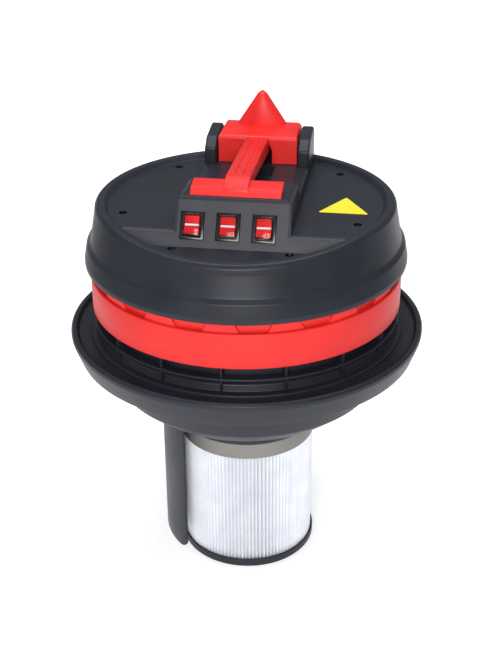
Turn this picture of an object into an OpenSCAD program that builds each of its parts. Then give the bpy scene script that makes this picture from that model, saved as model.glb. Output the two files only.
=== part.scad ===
// Power head of a three-motor wet and dry shop vacuum, standing on its cartridge filter.
// Millimetres, +Z up, front towards -Y, origin at the centre of the filter's bottom cap.

/* [Tank lid] */
// Outer radius of the lid that closes the tank
lid_r = 218; // [216:0.5:222]
// Height of the lid's flat plate above the filter's bottom
lid_z = 319.5; // [317:0.5:322]

/* [Motor drum] */
// Outer radius of the ribbed motor housing
housing_r = 176; // [175:0.5:177]
// Number of stiffening ribs round the housing
rib_count = 16; // [12:1:20]
// Outer radius of the red exhaust ring
ring_r = 189; // [188:0.5:190]
// Outer radius of the cover's bottom band
band_r = 194.8; // [194:0.2:196]
// Outer radius of the cover's top lip
lip_r = 180; // [178:0.5:181]

/* [Top cover] */
// Height of the flat deck
deck_z = 478; // [476:0.5:480]
// Height of the front ledge below the switch panel
ledge_z = 463; // [461:0.5:465]
// Lean of the switch panel from the vertical, in degrees
panel_lean = 30; // [27:1:32]
// Half width of the console where it meets the deck
console_hw = 66; // [65:0.5:68]

/* [Handle] */
// Width of the grip
grip_w = 28; // [24:1:32]
// Height of the grip's top at its front bend
grip_z = 530; // [527:1:533]
// Height of the cable horn's tip
horn_z = 573; // [566:1:580]

/* [Switches] */
// Distance between switch centres
switch_pitch = 40.8; // [38:0.2:41]
// Angle a rocker turns between off and on, in degrees
rocker_swing = 18; // [14:1:18]

/* [Motors] */
// Radius of each motor's fan case
motor_r = 71.5; // [68:0.5:72]
// Radius of the circle the three motors stand on
motor_pitch = 87; // [86:0.5:88]

/* [Cartridge filter] */
// Radius of the pleat tips
pleat_r = 85; // [83:0.5:85.5]
// Number of pleats
pleat_count = 108; // [60:4:120]

/* [Hidden] */
$fn = 96;
wall = 3;
eps = 0.01;

switch_ids = [1, 2, 3];
motor_ids = [1, 2, 3];
motor_parts = ["fan_case", "frame", "stator", "shaft", "armature", "impeller", "cooling_fan"];

// Colours of the mouldings
black = "#2b2c2f";
red = "#e02a20";
steel = "#b9bcc0";
rubber = "#1d1d1f";

// Cartridge filter and float
cap_r = 87.5;
cap_h = 12;
cap_floor = 4;
collar_r = 86.5;
collar_z = 168;
seat_z = 206;
ball_r = 42;
cage_in = 46;
cage_floor = 99;
ball_gap = 0.3;
core_r = pleat_r - 17.5;

// Bowl under the lid
neck_r = 92.5;
neck_z = 192;
port_r = 34;
plate_t = 4;
bowl_top = lid_z - plate_t;
deflector_r = 110;

// Housing and motors
floor_z = 298;
floor_t = 4;
flange_z = lid_z + 3.5;
ring1_z = 341;
housing_top = 423;
gasket_t = 6;
motor_z = floor_z + floor_t + gasket_t;
case_h = 60;
clamp_z = motor_z + case_h + 5;
clamp_t = 4;
intake_r = 30;
shaft_r = 4;
bearing_r = 11;
stack_r = 23.5;
frame_r = 52;
motor_angles = [90, 210, 330];

// Exhaust ring
ring_bottom = 354.4;
ring_top = 397.7;

// Cover
band_bottom = 411.4;
lip_z = 484.5;
rim_z = 474;
box_z = 513;
trough_z = 492;
cheek_in = 51;
panel_y0 = -101;
tan_lean = tan(panel_lean);
function panel_y(z) = panel_y0 + (z - deck_z) * tan_lean;
deck_holes = [[103, 109], [137, -54]];
ledge_hole = [66.5, -115.5];
boss_r = 8;
screw_head_r = 4.2;
counterbore_r = 5.2;
post_r = 7;

// Switch panel: point on the sloping face at the middle of the switches
switch_x = -5;
switch_z = 484.5;
bezel = [27.6, 32.6, 2.4];
cutout = [21.8, 29.8];

// Puts its children on the sloping panel, with Z outwards
module on_panel(x) {
    translate([switch_x + x, panel_y(switch_z), switch_z]) rotate([90 - panel_lean, 0, 0]) children();
}

module at_motor(i) {
    rotate([0, 0, motor_angles[i - 1]]) translate([motor_pitch, 0, motor_z]) children();
}

module at_motors() {
    for (i = motor_ids) at_motor(i) children();
}

module tube(r_out, r_in, z0, z1) {
    translate([0, 0, z0]) difference() {
        cylinder(r = r_out, h = z1 - z0);
        translate([0, 0, -1]) cylinder(r = r_in, h = z1 - z0 + 2);
    }
}

module box_at(x0, x1, y0, y1, z0, z1) {
    translate([x0, y0, z0]) cube([x1 - x0, y1 - y0, z1 - z0]);
}

// ---- Cartridge filter --------------------------------------------------------------

module filter_bottom_cap() {
    color(black) rotate_extrude() polygon([
        [0, 0], [cap_r - 1.5, 0], [cap_r, 1.5], [cap_r, cap_h], [cap_r - 2, cap_h],
        [cap_r - 2, cap_floor], [0, cap_floor]]);
}

module star(r_tip, r_root) {
    step = 360 / pleat_count;
    polygon([for (i = [0 : pleat_count - 1]) for (s = [0, 1])
        let (a = (i + s / 2) * step, r = s == 0 ? r_tip : r_root) [r * cos(a), r * sin(a)]]);
}

module filter_media() {
    pleat_depth = 14;
    sheet = 1.5;
    color("#e4e7ee") translate([0, 0, cap_floor]) linear_extrude(collar_z - cap_floor)
        difference() {
            star(pleat_r, pleat_r - pleat_depth);
            star(pleat_r - sheet, pleat_r - pleat_depth - sheet);
        }
}

module filter_core() {
    bars = 12;
    hoops = 6;
    hoop_h = 5;
    pitch = (collar_z - cap_floor - hoop_h) / (hoops - 1);
    color("#4a4c50") {
        for (i = [0 : hoops - 1])
            tube(core_r, core_r - 2, cap_floor + i * pitch, cap_floor + i * pitch + hoop_h);
        for (i = [0 : bars - 1]) rotate([0, 0, i * 360 / bars])
            box_at(core_r - 1.7, core_r - 0.5, -4, 4, cap_floor, collar_z);
    }
}

module filter_top_cap() {
    color("#8f8d86") rotate_extrude() polygon([
        [60.5, collar_z + 8], [core_r - 4, collar_z], [collar_r, collar_z], [collar_r, 200],
        [collar_r - 2, seat_z], [60.5, seat_z]]);
}

// ---- Float and bowl ----------------------------------------------------------------

module float_cage() {
    slots = 12;
    color(black) difference() {
        union() {
            tube(cage_in + wall, cage_in, cage_floor - wall, seat_z);
            tube(60, cage_in, seat_z - 4, seat_z);
            translate([0, 0, cage_floor - wall]) cylinder(r = cage_in + wall, h = wall);
        }
        for (i = [0 : slots - 1]) rotate([0, 0, (i + 0.5) * 360 / slots])
            box_at(cage_in - 3, cage_in + 6, -5, 5, cage_floor + 5, seat_z - 14);
        for (i = [0 : 5]) rotate([0, 0, i * 60]) translate([26, 0, cage_floor - wall - 1])
            cylinder(r = 8, h = wall + 2);
    }
}

module float_ball() {
    color("#f2f2ee") translate([0, 0, cage_floor + ball_gap + ball_r]) sphere(r = ball_r);
}

module intake_bowl() {
    color(black) rotate_extrude() polygon([
        [188, bowl_top], [188, bowl_top - 4], [181, bowl_top - 4], [180, 298], [178, 290],
        [164.6, 250.4], [137.7, 227.7], [neck_r + 2, 214], [neck_r, 208], [neck_r, 196], [neck_r - 1.5, neck_z],
        [neck_r - 4, neck_z], [neck_r - 4, seat_z], [port_r, seat_z], [port_r, seat_z + 4],
        [neck_r - 5, seat_z + 4], [neck_r - 1, 216.5], [135.4, 230.6], [161.6, 252.6],
        [174.6, 291.5], [176.6, 298.5], [177, bowl_top]]);
}

module bowl_screws() {
    color(steel) for (i = [0 : 7]) rotate([0, 0, 22.5 + i * 45]) translate([184.6, 0, bowl_top])
        for (part = [[3, -6.4, 2.4], [1.5, -5, 11]]) translate([0, 0, part[1]])
            cylinder(r = part[0], h = part[2]);
}

lug_angles = [-30, 30];
deflector_mid = 177;
deflector_half = 55;

module inlet_deflector() {
    arc = 2 * deflector_half;
    color(black) difference() {
        union() {
            rotate([0, 0, deflector_mid - deflector_half]) rotate_extrude(angle = arc)
                translate([deflector_r - wall, 20]) square([wall, 194]);
            for (a = lug_angles) rotate([0, 0, deflector_mid + a])
                box_at(neck_r + 0.02, deflector_r - wall + 0.5, -9, 9, 198, 206);
        }
        for (a = lug_angles) rotate([0, 0, deflector_mid + a]) translate([99, 0, 202])
            rotate([0, 90, 0]) cylinder(r = 2, h = 20);
    }
}

module deflector_screws() {
    color(steel) for (a = lug_angles) rotate([0, 0, deflector_mid + a])
        translate([deflector_r, 0, 202]) rotate([0, 90, 0]) {
            cylinder(r = 4, h = 2.5);
            translate([0, 0, -10.5]) cylinder(r = 1.9, h = 11);
        }
}

// ---- Tank lid ----------------------------------------------------------------------

module tank_lid() {
    lip_top = lid_z + 7;
    skirt_r = lid_r - 8.7;
    skirt_z = 294.4;
    color(black) rotate_extrude() {
        polygon([
            [housing_r + 0.6, bowl_top], [lid_r - 12.5, bowl_top], [skirt_r - 4, skirt_z],
            [skirt_r, skirt_z], [lid_r - 0.6, lip_top - 8], [lid_r, lip_top - 5],
            [lid_r - 2, lip_top - 1], [lid_r - 5, lip_top], [lid_r - 8, lip_top - 1.5],
            [lid_r - 9.5, lid_z], [housing_r + 0.6, lid_z]]);
    }
}

module lid_gasket() {
    color(rubber) tube(lid_r - 14, 190, bowl_top - 4.5, bowl_top);
}

// ---- Motor housing -----------------------------------------------------------------

module housing_ribs() {
    rib_t = 3;
    for (i = [0 : rib_count - 1]) rotate([0, 0, -90 + i * 360 / rib_count]) {
        box_at(housing_r - 1, ring_r - 2.8, -rib_t / 2, rib_t / 2, ring1_z - 1, 395);
        box_at(housing_r - 1, ring_r - 2, -rib_t / 2, rib_t / 2, flange_z - 1, ring1_z - 2);
    }
}

module motor_housing() {
    window_w = 34;
    color(black) difference() {
        union() {
            rotate_extrude() polygon([
                [0, floor_z], [housing_r, floor_z], [housing_r, lid_z], [193.2, lid_z],
                [193.2, flange_z], [housing_r + 7, flange_z], [housing_r + 7, 331],
                [housing_r, 334], [housing_r, ring1_z - 3.5], [188.3, ring1_z - 3.5],
                [188.3, ring1_z], [housing_r, ring1_z], [housing_r, housing_top],
                [housing_r - 3.5, housing_top], [housing_r - 3.5, floor_z + floor_t],
                [0, floor_z + floor_t]]);
            housing_ribs();
        }
        for (a = motor_angles) rotate([0, 0, a]) translate([motor_pitch, 0, floor_z - 1])
            cylinder(r = intake_r, h = floor_t + 2);
        for (i = [0 : rib_count - 1]) rotate([0, 0, -90 + (i + 0.5) * 360 / rib_count])
            box_at(housing_r - 6, housing_r + 4, -window_w / 2, window_w / 2, 382, 404);
        for (p = bolt_places) translate([p[0], p[1], floor_z - 1])
            cylinder(r = 3.2, h = floor_t + 2);
    }
}

bolt_places = [for (a = [30, 150, 270]) [150 * cos(a), 150 * sin(a)], [0, 0]];

module motor_gaskets() {
    color(rubber) for (a = motor_angles) rotate([0, 0, a]) translate([motor_pitch, 0, 0])
        tube(60, intake_r, floor_z + floor_t, motor_z);
}

module motor_top_rings() {
    color(rubber) for (a = motor_angles) rotate([0, 0, a]) translate([motor_pitch, 0, 0])
        tube(70, 58, motor_z + case_h, clamp_z);
}

module clamp_plate() {
    post_top = deck_z - 16;
    color("#3a3c40") difference() {
        union() {
            translate([0, 0, clamp_z]) cylinder(r = 171.5, h = clamp_t);
            for (s = [-1, 1]) {
                for (p = deck_holes) translate([s * p[0], p[1], clamp_z])
                    cylinder(r = post_r, h = post_top - clamp_z);
                translate([s * ledge_hole[0], ledge_hole[1], clamp_z])
                    cylinder(r = post_r, h = ledge_z - 16 - clamp_z);
            }
        }
        for (a = motor_angles) rotate([0, 0, a]) translate([motor_pitch, 0, clamp_z - 1])
            cylinder(r = 57, h = clamp_t + 2);
        for (p = bolt_places) translate([p[0], p[1], clamp_z - 1])
            cylinder(r = 3.2, h = clamp_t + 2);
        for (s = [-1, 1]) {
            for (p = deck_holes) translate([s * p[0], p[1], post_top - 25]) cylinder(r = 2.1, h = 30);
            translate([s * ledge_hole[0], ledge_hole[1], ledge_z - 41]) cylinder(r = 2.1, h = 30);
        }
    }
}

module clamp_spacers() {
    color(steel) for (p = bolt_places) translate([p[0], p[1], 0])
        tube(6, 3.2, floor_z + floor_t, clamp_z);
}

module clamp_bolts() {
    color(steel) for (p = bolt_places) translate([p[0], p[1], 0]) {
        translate([0, 0, floor_z - 6]) cylinder(r = 3, h = clamp_z + clamp_t - floor_z + 8);
        translate([0, 0, clamp_z + clamp_t]) cylinder(r = 5.5, h = 4, $fn = 6);
        translate([0, 0, floor_z - 5]) cylinder(r = 5.5, h = 5, $fn = 6);
    }
}

module muffler_foam() {
    color("#55585e") tube(172, 158, clamp_z + clamp_t, 419);
}

module exhaust_ring() {
    pad_arc = 13.25;
    color(red) {
        rotate_extrude() polygon([
            [ring_r - 2.5, ring_bottom], [ring_r, ring_bottom], [ring_r, ring_top - 1],
            [ring_r - 1, ring_top], [183, ring_top], [183, 418], [180.5, 418], [180.5, 395],
            [ring_r - 2.5, 395]]);
        for (i = [0 : rib_count - 1]) rotate([0, 0, -90 - pad_arc / 2 + i * 360 / rib_count])
            rotate_extrude(angle = pad_arc) translate([182.5, ring_top - 0.5])
                square([3.7, 15.5]);
    }
}

// ---- Motors ------------------------------------------------------------------------

module motor_fan_case(i) {
    vents = 10;
    color(steel) at_motor(i) difference() {
        cylinder(r = motor_r, h = case_h);
        translate([0, 0, 1.5]) cylinder(r = motor_r - 1.5, h = case_h - 3);
        translate([0, 0, -1]) cylinder(r = 22, h = 4);
        translate([0, 0, case_h - 3]) cylinder(r = 34, h = 5);
        for (k = [0 : vents - 1]) rotate([0, 0, k * 360 / vents])
            box_at(motor_r - 5, motor_r + 3, -8, 8, 40, 50);
    }
}

module motor_frame(i) {
    color("#34363a") at_motor(i) difference() {
        union() {
            translate([0, 0, case_h]) cylinder(r = 56, h = 3);
            translate([0, 0, case_h - 6]) cylinder(r = 15, h = 8);
            translate([0, 0, case_h]) cylinder(r = frame_r, h = 75);
            translate([0, 0, 134]) cylinder(r = 15, h = 6);
        }
        translate([0, 0, case_h + 3]) cylinder(r = frame_r - 3.5, h = 69);
        translate([0, 0, case_h - 4]) cylinder(r = bearing_r, h = 8);
        translate([0, 0, case_h - 8]) cylinder(r = 6, h = 8);
        translate([0, 0, 131]) cylinder(r = bearing_r, h = 7);
        translate([0, 0, 131]) cylinder(r = 6, h = 12);
        for (k = [0 : 5]) rotate([0, 0, 15 + k * 60])
            box_at(frame_r - 8, frame_r + 5, -9, 9, 70, 76);
    }
}

module motor_stator(i) {
    color("#8d9096") at_motor(i) difference() {
        translate([0, 0, 80]) cylinder(r = 48.4, h = 32);
        translate([0, 0, 79]) cylinder(r = stack_r + 1, h = 34);
        for (s = [-1, 1]) box_at(-20, 20, s * 34 - 7, s * 34 + 7, 79, 113);
    }
}

module field_coils() {
    color("#b4642d") at_motors() for (s = [-1, 1])
        box_at(-19.5, 19.5, s * 34 - 6.5, s * 34 + 6.5, 74, 118);
}

module motor_shaft(i) {
    color(steel) at_motor(i) translate([0, 0, 6]) cylinder(r = shaft_r, h = 146);
}

module motor_armature(i) {
    color("#9b6b3f") at_motor(i) difference() {
        union() {
            translate([0, 0, 80]) cylinder(r = stack_r, h = 32);
            translate([0, 0, 112]) cylinder(r = 9, h = 6);
            translate([0, 0, 118]) cylinder(r = 13, h = 10);
        }
        cylinder(r = shaft_r, h = 160);
    }
}

module motor_impeller(i) {
    blades = 7;
    color("#c9ccd0") at_motor(i) difference() {
        union() {
            translate([0, 0, 10]) cylinder(r = 10, h = 26);
            translate([0, 0, 34]) cylinder(r = 64, h = 1.5);
            tube(64, 24, 12, 13.5);
            for (k = [0 : blades - 1]) rotate([0, 0, k * 360 / blades])
                translate([18, 0, 12.5]) rotate([0, 0, 32]) box_at(0, 42, -0.8, 0.8, 0, 22);
        }
        cylinder(r = shaft_r, h = 60);
    }
}

module motor_cooling_fan(i) {
    blades = 9;
    color("#3c3e42") at_motor(i) difference() {
        union() {
            translate([0, 0, 142]) cylinder(r = 9, h = 9);
            translate([0, 0, 142]) cylinder(r = 42, h = 1.5);
            for (k = [0 : blades - 1]) rotate([0, 0, k * 360 / blades])
                box_at(8, 41, -0.8, 0.8, 143, 151);
        }
        translate([0, 0, 130]) cylinder(r = shaft_r, h = 30);
    }
}

module motor_bearings() {
    color(steel) at_motors() {
        tube(bearing_r, shaft_r + 0.05, case_h - 4, case_h + 3);
        tube(bearing_r, shaft_r + 0.05, 131, 138);
    }
}

module carbon_brushes() {
    color("#3b3b3d") at_motors() for (s = [-1, 1])
        box_at(-3, 3, s > 0 ? 13.3 : -48, s > 0 ? 48 : -13.3, 119, 127);
}

// ---- Top cover ---------------------------------------------------------------------

// Everything in front of the sloping panel plane, moved back by d, above z0
module front_wedge(d, z0) {
    z1 = z0 + 80;
    translate([-250, 0, 0]) rotate([90, 0, 90]) linear_extrude(500) polygon([
        [panel_y(z0) + d, z0], [panel_y(z1) + d, z1], [-300, z1], [-300, z0]]);
}

// Console body in side view, shrunk by d, without the rear cheeks
module console_body(d) {
    hw = console_hw - d;
    z0 = deck_z - 1.2;
    rotate([90, 0, 90]) translate([0, 0, -hw]) linear_extrude(2 * hw) polygon([
        [panel_y(z0) + d / cos(panel_lean), z0],
        [panel_y(box_z - d) + d / cos(panel_lean), box_z - d],
        [-22 - d, box_z - d], [-8 - d, trough_z - d], [156 - d, trough_z - d], [158 - d, z0]]);
}

// The hollow inside the console, round the finger well
module console_room() {
    difference() {
        union() {
            console_body(wall);
            difference() {
                box_at(-console_hw + 5, console_hw - 5, -106, -25, deck_z - 9, deck_z + 1);
                front_wedge(wall / cos(panel_lean) + 0.4, deck_z - 20);
            }
        }
        box_at(-well_hw - wall, well_hw + wall, well_y[0] - wall, well_y[1] + wall, 460, box_z);
    }
}

module cheeks(d) {
    for (s = [-1, 1]) translate([s * (console_hw + cheek_in) / 2, 0, 0])
        rotate([90, 0, 90]) translate([0, 0, -(console_hw - cheek_in) / 2 + d])
            linear_extrude(console_hw - cheek_in - 2 * d) polygon([
                [90 + d, trough_z - 6], [90 + d, 520 - d], [100, 523 - d], [142, 529 - d],
                [154 - d, 525 - d], [156 - d, 503], [157 - d, trough_z - 6]]);
}

module cover_puck(d) {
    rotate_extrude() polygon([
        [0, band_bottom - (d > 0 ? 1 : 0)], [band_r - d, band_bottom - (d > 0 ? 1 : 0)],
        [band_r - d, 417], [191.5 - d, 434 - d], [186.5 - d, 439 - d], [lip_r - d, 474 - d],
        [lip_r - 0.8 - d, lip_z - 4 - d], [lip_r - 4 - d, lip_z - d],
        [166 + d, lip_z - d], [163 + d, deck_z - d], [0, deck_z - d]]);
}

// Space above the front rim, whose top falls towards the front
module rim_fall() {
    fall = (lip_z - rim_z) / 77;
    rotate([90, 0, 90]) translate([0, 0, -260]) linear_extrude(520) polygon([
        [-98, lip_z], [-98, 620], [-260, 620], [-260, lip_z - 162 * fall]]);
}

module cover_holes(r, z_deck, z_ledge, h) {
    for (s = [-1, 1]) {
        for (p = deck_holes) translate([s * p[0], p[1], z_deck]) cylinder(r = r, h = h);
        translate([s * ledge_hole[0], ledge_hole[1], z_ledge]) cylinder(r = r, h = h);
    }
}

// Room for the fingers under the grip
well_hw = 24;
well_y = [2, 90];
well_z = 480;

module top_cover() {
    slots = 9;
    color(black) difference() {
        union() {
            difference() {
                cover_puck(0);
                intersection() {
                    front_wedge(0, ledge_z);
                    cylinder(r = 164, h = 600);
                }
                rim_fall();
                difference() {
                    cover_puck(wall);
                    front_wedge(wall / cos(panel_lean), ledge_z - wall);
                }
                intersection() {
                    cover_puck(wall);
                    cylinder(r = 200, h = ledge_z - wall);
                }
            }
            console_body(0);
            cheeks(0);
            // shelf that sits on the housing
            tube(191, housing_r - 3.5, housing_top, housing_top + wall);
            // screw bosses under the deck and the ledge
            cover_holes(boss_r, deck_z - 16, ledge_z - 16, 14.5);
            // gland boss at the rear
            translate([0, 188, 450]) rotate([90, 0, 0]) cylinder(r = 13, h = 20);
        }
        // room inside the console for the switches, open to the drum below
        console_room();
        // recess for the handle's cross bar
        box_at(-52.6, 52.6, -77.3, -46, box_z - 1.5, box_z + 1);
        // finger well
        box_at(-well_hw, well_hw, well_y[0], well_y[1], well_z, trough_z + 1);
        // cooling air slots in the well's floor
        for (i = [0 : slots - 1]) box_at(-16, 16, 12 + i * 8, 16 + i * 8, well_z - 30, well_z + 1);
        // switch cut-outs
        for (i = [-1 : 1]) on_panel(i * switch_pitch)
            translate([-cutout[0] / 2, -cutout[1] / 2, -8]) cube([cutout[0], cutout[1], 16]);
        // screw holes
        cover_holes(counterbore_r, deck_z - 12, ledge_z - 12, 30);
        cover_holes(2.6, deck_z - 20, ledge_z - 20, 20);
        // handle screw holes
        for (s = [-1, 1]) {
            translate([s * 40, -63, box_z - 8]) cylinder(r = 2.6, h = 10);
            translate([s * 36, 125, deck_z - 8]) cylinder(r = 2.6, h = 30);
        }
        // cord gland bore
        translate([0, 200, 450]) rotate([90, 0, 0]) cylinder(r = 8.1, h = 40);
    }
}

module cover_screws() {
    color(steel) {
        for (s = [-1, 1]) {
            for (p = deck_holes) translate([s * p[0], p[1], deck_z - 12]) {
                cylinder(r = screw_head_r, h = 3);
                translate([0, 0, -20]) cylinder(r = 2, h = 20);
            }
            translate([s * ledge_hole[0], ledge_hole[1], ledge_z - 12]) {
                cylinder(r = screw_head_r, h = 3);
                translate([0, 0, -20]) cylinder(r = 2, h = 20);
            }
        }
    }
}

module deck_sticker() {
    color("#ffe629") translate([0, 0, deck_z]) linear_extrude(0.3)
        polygon([[88, -23], [148, -23], [118, 29]]);
}

// ---- Handle ------------------------------------------------------------------------

module grip_outline() {
    polygon([[-74, box_z], [-71.5, 520.5], [-62, grip_z - 3], [-56, grip_z], [97, 525], [100, 518],
        [100, 506], [60, 508], [-19, box_z + 0.4], [-46, box_z + 1]]);
}

module carry_handle() {
    bar_hw = 52;
    block_hw = 49.5;
    color(red) difference() {
        union() {
            // cross bar
            rotate([90, 0, 90]) translate([0, 0, -bar_hw]) linear_extrude(2 * bar_hw) polygon([
                [-76.8, box_z - 1.5], [-76.8, box_z + 0.7], [-69.5, 520.5], [-49.5, 524],
                [-47.5, 522.5], [-47, box_z - 1.5]]);
            // grip
            rotate([90, 0, 90]) translate([0, 0, -grip_w / 2]) linear_extrude(grip_w)
                grip_outline();
            // rear block
            rotate([90, 0, 90]) translate([0, 0, -block_hw]) linear_extrude(2 * block_hw)
                polygon([[97, trough_z], [97, 526.5], [151, 531], [154, 527.5], [156, trough_z]]);
            // cable horn
            hull() {
                translate([0, 143, 525]) scale([1, 0.36, 1]) cylinder(r = 31, h = 4, $fn = 32);
                translate([0, 143, horn_z - 6]) sphere(r = 6, $fn = 24);
            }
        }
        // finger tunnel into the block
        translate([0, 170, trough_z - 2]) rotate([90, 0, 0]) intersection() {
            cylinder(r = 23, h = 80);
            box_at(-30, 30, 0, 15.5, -1, 90);
        }
        // grooves along the grip
        for (s = [-1, 1]) translate([s * 4.8, -50, grip_z - 1.4])
            rotate([atan2(525 - grip_z, 153), 0, 0]) box_at(-1, 1, 0, 144, 0, 4);
        // screw pilots
        for (s = [-1, 1]) {
            translate([s * 40, -63, box_z - 4]) cylinder(r = 1.7, h = 8);
            translate([s * 36, 125, trough_z - 1]) cylinder(r = 1.7, h = 16);
        }
    }
}

module handle_screws() {
    color(steel) for (s = [-1, 1]) {
        translate([s * 40, -63, 0]) {
            translate([0, 0, box_z - 9]) cylinder(r = 4, h = 3);
            translate([0, 0, box_z - 8]) cylinder(r = 1.6, h = 11);
        }
        translate([s * 36, 125, 0]) {
            translate([0, 0, trough_z - 6]) cylinder(r = 4, h = 3);
            translate([0, 0, trough_z - 5]) cylinder(r = 1.6, h = 18);
        }
    }
}

// ---- Switches ----------------------------------------------------------------------

pivot_z = -2;
cavity = [19.6, 26.4];
body_box = [21.4, 29.4, 20];

module switch_body(i) {
    color("#1f2023") on_panel((i - 2) * switch_pitch) difference() {
        union() {
            translate([-bezel[0] / 2, -bezel[1] / 2, 0]) cube(bezel);
            translate([-body_box[0] / 2, -body_box[1] / 2, -body_box[2]]) cube(body_box);
        }
        translate([-cavity[0] / 2, -cavity[1] / 2, -13]) cube([cavity[0], cavity[1], 20]);
        translate([-11.8, -14.8, 1.2]) cube([23.6, 29.6, 5]);
        translate([-20, 0, pivot_z]) rotate([0, 90, 0]) cylinder(r = 1.25, h = 40);
        for (y = [-7, 0, 7]) translate([-3, y - 0.5, -30]) cube([6, 1, 20]);
    }
}

// Rocker shape in neutral, seen from the side
module rocker_outline() {
    polygon([[-11, 3.2], [0, 1.4], [11, 3.2], [10.6, -3], [4, -9], [-4, -9], [-10.6, -3]]);
}

module switch_rocker(i) {
    hw = 8.6;
    color("#e8261c") on_panel((i - 2) * switch_pitch) translate([0, 0, pivot_z])
        rotate([-rocker_swing / 2, 0, 0]) translate([0, 0, -pivot_z]) {
            rotate([90, 0, 90]) translate([0, 0, -hw]) linear_extrude(2 * hw) rocker_outline();
            translate([-10.3, 0, pivot_z]) rotate([0, 90, 0]) cylinder(r = 1.2, h = 20.6);
        }
}

module switch_cap(i) {
    color("#ffffff", 0.3) on_panel((i - 2) * switch_pitch) difference() {
        union() {
            translate([-11.7, -14.7, 1.2]) cube([23.4, 29.4, 0.9]);
            translate([-9.7, -13.1, 1.2]) cube([19.4, 26.2, 5.4]);
        }
        translate([-9, -12.4, 0]) cube([18, 24.8, 5.9]);
    }
}

// ---- Cord entry --------------------------------------------------------------------

module cord_gland() {
    color(rubber) translate([0, 188, 450]) rotate([90, 0, 0]) difference() {
        union() {
            cylinder(r = 8, h = 30);
            translate([0, 0, -4]) cylinder(r = 10.5, h = 4);
        }
        translate([0, 0, -5]) cylinder(r = 4.3, h = 40);
    }
}

module terminal_block() {
    color("#d9d9d2") difference() {
        box_at(-28, 28, 8, 24, clamp_z + clamp_t, clamp_z + clamp_t + 16);
        for (i = [-2 : 2]) translate([i * 10.5, 0, clamp_z + clamp_t + 9]) rotate([-90, 0, 0])
            cylinder(r = 3, h = 40);
    }
}

// ---- Assembly ----------------------------------------------------------------------

filter_bottom_cap();
filter_media();
filter_core();
filter_top_cap();
float_cage();
float_ball();
intake_bowl();
inlet_deflector();
deflector_screws();
tank_lid();
lid_gasket();
bowl_screws();
motor_housing();
motor_gaskets();
motor_top_rings();
clamp_plate();
clamp_spacers();
clamp_bolts();
muffler_foam();
exhaust_ring();
top_cover();
cover_screws();
carry_handle();
handle_screws();
deck_sticker();
cord_gland();
terminal_block();
field_coils();
motor_bearings();
carbon_brushes();
for (i = switch_ids) {
    switch_body(i);
    switch_rocker(i);
    switch_cap(i);
}
for (i = motor_ids) {
    motor_fan_case(i);
    motor_frame(i);
    motor_stator(i);
    motor_shaft(i);
    motor_armature(i);
    motor_impeller(i);
    motor_cooling_fan(i);
}
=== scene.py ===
import math

import bpy
from mathutils import Matrix, Vector, noise


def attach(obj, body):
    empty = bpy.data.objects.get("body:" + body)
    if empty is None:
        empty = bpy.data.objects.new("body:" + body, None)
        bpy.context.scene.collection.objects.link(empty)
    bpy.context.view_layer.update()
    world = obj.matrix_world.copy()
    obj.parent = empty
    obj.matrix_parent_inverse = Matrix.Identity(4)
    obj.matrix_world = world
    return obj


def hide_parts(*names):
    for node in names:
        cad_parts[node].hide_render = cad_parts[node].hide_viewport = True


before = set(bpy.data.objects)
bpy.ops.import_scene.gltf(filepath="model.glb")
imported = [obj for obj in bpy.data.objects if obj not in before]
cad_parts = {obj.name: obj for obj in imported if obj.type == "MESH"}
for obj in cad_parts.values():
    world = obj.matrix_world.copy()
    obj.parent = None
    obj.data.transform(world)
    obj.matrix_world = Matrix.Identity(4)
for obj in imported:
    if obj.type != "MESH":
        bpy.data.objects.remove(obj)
bpy.ops.object.select_all(action="DESELECT")
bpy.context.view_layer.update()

# Shared measures, in millimetres and degrees
MM = 0.001
RIBS = 16
LEAN = math.radians(30)         # switch panel's lean from the vertical
DECK = 478.0
LEDGE = 463.0
MOTOR_ANGLES = (90, 210, 330)
MOTOR_PITCH = 87
CONSOLE = 66.0                  # half of the console's width
SWITCH_Z = 484.5
SWITCH_X = tuple(-5 + i * 40.8 for i in (-1, 0, 1))
PIN_DEPTH = 2                   # rocker pin below the panel's face
ROCKER_REST = -9                # half of the rocker's swing
WIDE = 260                      # half width of cutters that reach past the cover
RIM_FALL_Y = -98                # where the front rim starts to fall
RIM_DROP, RIM_RUN = 10.5, 77    # its drop, over this run towards the front
RIM_FOOT, RIM_TALL = 440, 34    # nothing below the foot moves; the whole fall is this much higher
COVER_SCREWS = ((103.3, 108.7, DECK), (-103.3, 108.7, DECK), (137, -54, DECK),
                (-137, -54, DECK), (66.5, -115.5, LEDGE), (-66.5, -115.5, LEDGE))


# ---- Working helpers ---------------------------------------------------------------

def current():
    return bpy.context.view_layer.objects.active


def choose(*objects):
    bpy.ops.object.select_all(action="DESELECT")
    for o in objects:
        o.select_set(True)
    bpy.context.view_layer.objects.active = objects[0]


def settle(piece):
    """Puts the piece's place into its mesh, so that its object sits at the origin."""
    choose(piece)
    bpy.ops.object.transform_apply(location=True, rotation=True, scale=True)
    return piece


def apply_modifier(piece, kind, **settings):
    choose(piece)
    m = piece.modifiers.new(kind.title(), kind)
    for key, value in settings.items():
        setattr(m, key, value)
    bpy.ops.object.modifier_apply(modifier=m.name)
    return piece


def soften(piece, width, segments=3, angle=30):
    """Rounds the sharp edges, in millimetres."""
    return apply_modifier(piece, "BEVEL", width=width * MM, segments=segments,
                          limit_method="ANGLE", angle_limit=math.radians(angle),
                          harden_normals=False)


def smooth(piece, angle=35):
    choose(piece)
    bpy.ops.object.shade_smooth_by_angle(angle=math.radians(angle))
    return piece


def join(name, pieces):
    choose(*pieces)
    if len(pieces) > 1:
        bpy.ops.object.join()
    pieces[0].name = name
    return pieces[0]


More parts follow.
